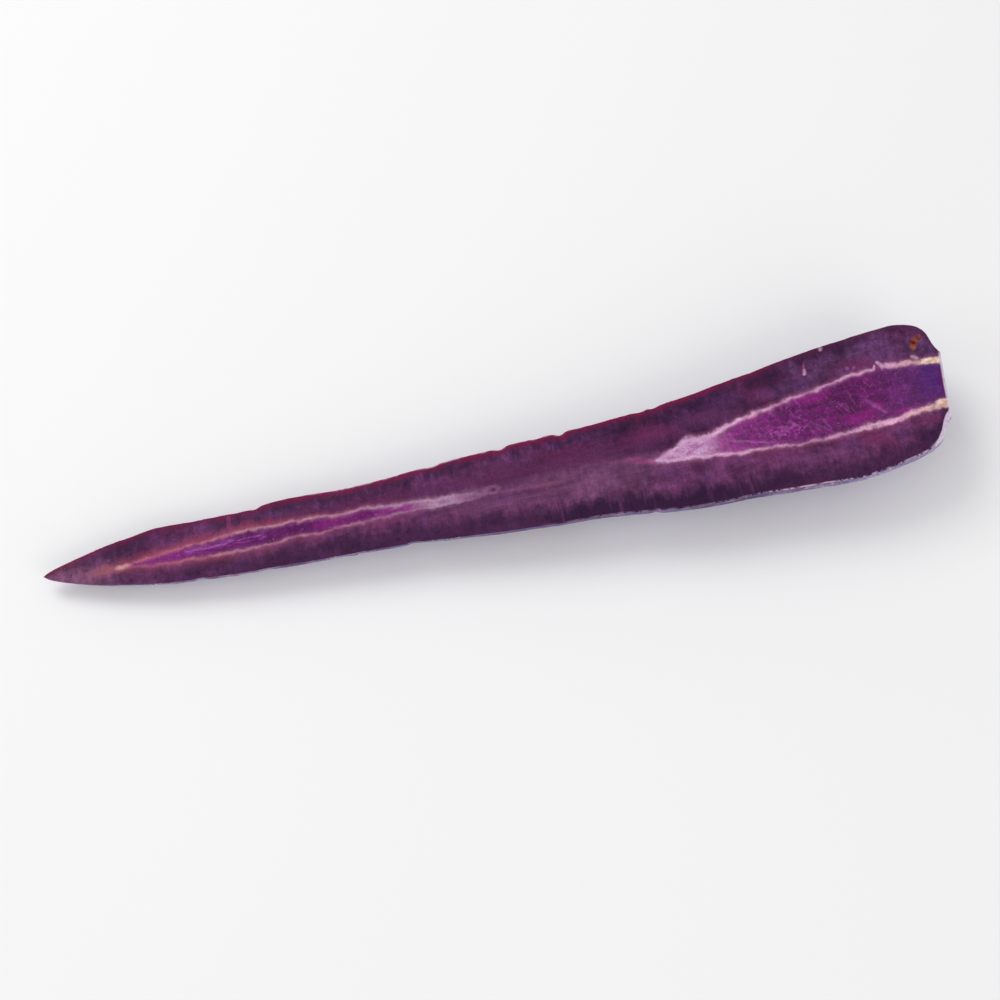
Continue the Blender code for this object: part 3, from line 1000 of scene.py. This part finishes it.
def rindMaterial():
    sheet = Sheet("violetRind", rind)
    place = sheet.attribute("fleshPlace", "Vector")
    crease = sheet.attribute("crease")
    station = sheet.parts(place)[0]
    warped = sheet.shaken(place, 0.9, 0.9)

    clouds = sheet.noise(place, (0.06, 0.14, 0.14), 5.0, 0.6)
    sheet.colour = sheet.blend(sheet.soft(clouds, 0.34, 0.66), rind["deep"], rind["violet"])
    plum = sheet.noise(place, (0.05, 0.1, 0.1), 3.0, 0.5, 9.0) + station * 0.0011
    sheet.lay("plum", sheet.soft(plum, 0.56, 0.8) * 0.75)
    mottle = sheet.noise(place, (0.8, 0.5, 0.5), 6.0, 0.7, 2.0)
    sheet.lay("dusk", sheet.soft(mottle, 0.46, 0.68) * 0.55)

    # Dusty bloom: a thin film in drifts, and short pale marks across the root, thickest by the crown
    drift = sheet.noise(place, (0.05, 0.11, 0.11), 4.0, 0.6, 27.0)
    drift = drift + sheet.soft(station, 36.0, 12.0) * 0.12
    film = sheet.noise(place, (0.35, 0.25, 0.25), 5.0, 0.65, 41.0)
    filmMask = sheet.soft(film + (drift - 0.5) * 1.2, 0.4, 0.74)
    sheet.lay("bloom", filmMask * 0.5)
    flecks = sheet.noise(warped, (1.5, 0.55, 0.55), 4.0, 0.65, 33.0)
    fleckMask = sheet.soft(flecks + (drift - 0.5) * 0.6, 0.55, 0.7)
    sheet.lay("bloom", fleckMask * 0.65)
    drops = sheet.cells(warped, (1.25, 0.6, 0.6), 5.0)
    dropMask = sheet.soft(drops, 0.42, 0.1) * sheet.soft(drift, 0.48, 0.64)
    sheet.lay("chalk", dropMask * 0.6)

    # Rings with pale lips and painted shade darkening their creases, and thin cream slits
    lips = sheet.band(crease, 0.12, 0.3, 0.08) * sheet.soft(flecks, 0.4, 0.6)
    sheet.lay("bloom", lips * 0.5)
    # painted shade: the dark dusk tone laid deeper the deeper a crease's dent
    sheet.lay("dusk", sheet.soft(crease, 0.3, 0.65) * 0.6)
    slits = sheet.cells(warped, (0.62, 0.1, 0.1), 11.0)
    slitMask = sheet.soft(slits, 0.17, 0.07)
    scarMask = sheet.soft(sheet.attribute("scar"), 0.4, 0.9) * sheet.soft(mottle, 0.4, 0.55, 0.3, 0.8)
    sheet.lay("slit", (slitMask * 0.75).top(scarMask))

    fine = sheet.noise(place, (3.0, 1.8, 1.8), 5.0, 0.65, 6.0)
    height = fine + fleckMask * 0.3 - slitMask * 0.6
    return sheet.finish(rind["roughness"] + filmMask * 0.2, height)


crownCut = {
    "centre": (3.4, 0.0),             # across and up of the core in the crown's cut
    "coreRadius": 5.3,
    "ringWidth": 0.8,
    "dry": srgb(104, 60, 100),
    "dryDark": srgb(80, 46, 84),
    "ring": srgb(222, 184, 182),
    "middle": srgb(136, 56, 112),
    "middleDark": srgb(88, 36, 84),
    "edge": srgb(206, 188, 212),
    "roughness": 0.6,
    "gloss": 0.3,
    "bump": (0.5, 0.0003),
}


def crownMaterial():
    sheet = Sheet("crownCut", crownCut)
    place = sheet.node("ShaderNodeTexCoord", None, None, "Object")
    middle = rootFrame.place(0.0, *crownCut["centre"])
    offset = sheet.vectorMaths("SUBTRACT", {0: place, 1: tuple(middle)})
    fine = sheet.scaled(offset, (1 / mm, 1 / mm, 1 / mm))
    radius = sheet.length(sheet.scaled(fine, (0.0, 1.0, 1.0)))
    ragged = sheet.noise(fine, (0.5, 0.5, 0.5), 4.0, 0.6) - 0.5
    wobbly = radius + ragged * 2.4 - crownCut["coreRadius"]
    clouds = sheet.noise(fine, (0.4, 0.4, 0.4), 5.0, 0.65, 3.0)
    outer = sheet.blend(sheet.soft(clouds, 0.38, 0.62), crownCut["dryDark"], crownCut["dry"])
    inner = sheet.blend(sheet.soft(clouds, 0.38, 0.62), crownCut["middleDark"], crownCut["middle"])
    sheet.colour = sheet.blend(sheet.soft(wobbly, 0.0, -0.6), outer, inner)
    ring = sheet.soft(abs(wobbly), crownCut["ringWidth"], 0.2)
    sheet.lay("ring", ring * sheet.soft(clouds, 0.3, 0.55, 0.4, 0.8))
    sheet.lay("edge", sheet.soft(sheet.parts(fine)[2] + ragged * 0.4, -0.6, -0.25) * 0.7)
    return sheet.finish(crownCut["roughness"], sheet.noise(fine, (1.5, 1.5, 1.5), 5.0))


def makeCarrotHalf():
    half, bakeMap = growHalf()
    trimCrown(half, bakeMap)
    piece = finishMesh("carrotHalf", half, [rindMaterial(), fleshMaterial(), crownMaterial()])
    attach(piece, "root")
    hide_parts("carrot_half")
    print("carrot half:", len(piece.data.polygons), "faces")


floor = {
    "size": 3.0,
    "colour": (0.9, 0.9, 0.905, 1.0),
    "roughness": 0.9,
    "gloss": 0.1,
}


def makeFloor():
    grid = bmesh.new()
    bmesh.ops.create_grid(grid, x_segments=1, y_segments=1, size=floor["size"] / 2)
    sheet = Sheet("paleFloor", floor)
    sheet.colour = floor["colour"]
    finishMesh("floor", grid, [sheet.finish(floor["roughness"])])


def makeLights():
    world = bpy.data.worlds.new("studio")
    world.use_nodes = True
    inputs = world.node_tree.nodes["Background"].inputs
    inputs["Color"].default_value = studio["worldColour"]
    inputs["Strength"].default_value = studio["worldStrength"]
    bpy.context.scene.world = world
    for name, (place, size, watts) in studio["lamps"].items():
        light = bpy.data.lights.new(name, "AREA")
        light.shape = "SQUARE"
        light.size = size
        light.energy = watts
        lamp = bpy.data.objects.new(name, light)
        lamp.location = place
        lamp.rotation_euler = (-Vector(place)).to_track_quat("-Z", "Y").to_euler()
        bpy.context.scene.collection.objects.link(lamp)


def makeCamera():
    azimuth, elevation = math.radians(camera["azimuth"]), math.radians(camera["elevation"])
    back = Vector((math.sin(azimuth) * math.cos(elevation), -math.cos(azimuth) * math.cos(elevation),
                   math.sin(elevation)))
    right = Vector((math.cos(azimuth), math.sin(azimuth), 0.0))
    up = back.cross(right)
    perPixel = camera["distance"] * camera["sensor"] / camera["lens"] / camera["picture"]
    offRight = (camera["picture"] / 2 - camera["axisMiddle"][0]) * perPixel
    offUp = (camera["axisMiddle"][1] - camera["picture"] / 2) * perPixel
    middle = rootFrame.place(root["length"] / 2, 0.0, 0.0)
    lens = bpy.data.cameras.new("camera")
    lens.lens = camera["lens"]
    lens.sensor_width = camera["sensor"]
    lens.clip_start = 0.01
    eye = bpy.data.objects.new("camera", lens)
    eye.location = middle + back * camera["distance"] + right * offRight + up * offUp
    eye.rotation_euler = (-back).to_track_quat("-Z", "Y").to_euler()
    bpy.context.scene.collection.objects.link(eye)
    bpy.context.scene.camera = eye


makeCamera()
makeLights()
makeFloor()
makeCarrotHalf()
bpy.context.scene.view_settings.view_transform = "Standard"
print("stage, light and camera are set")
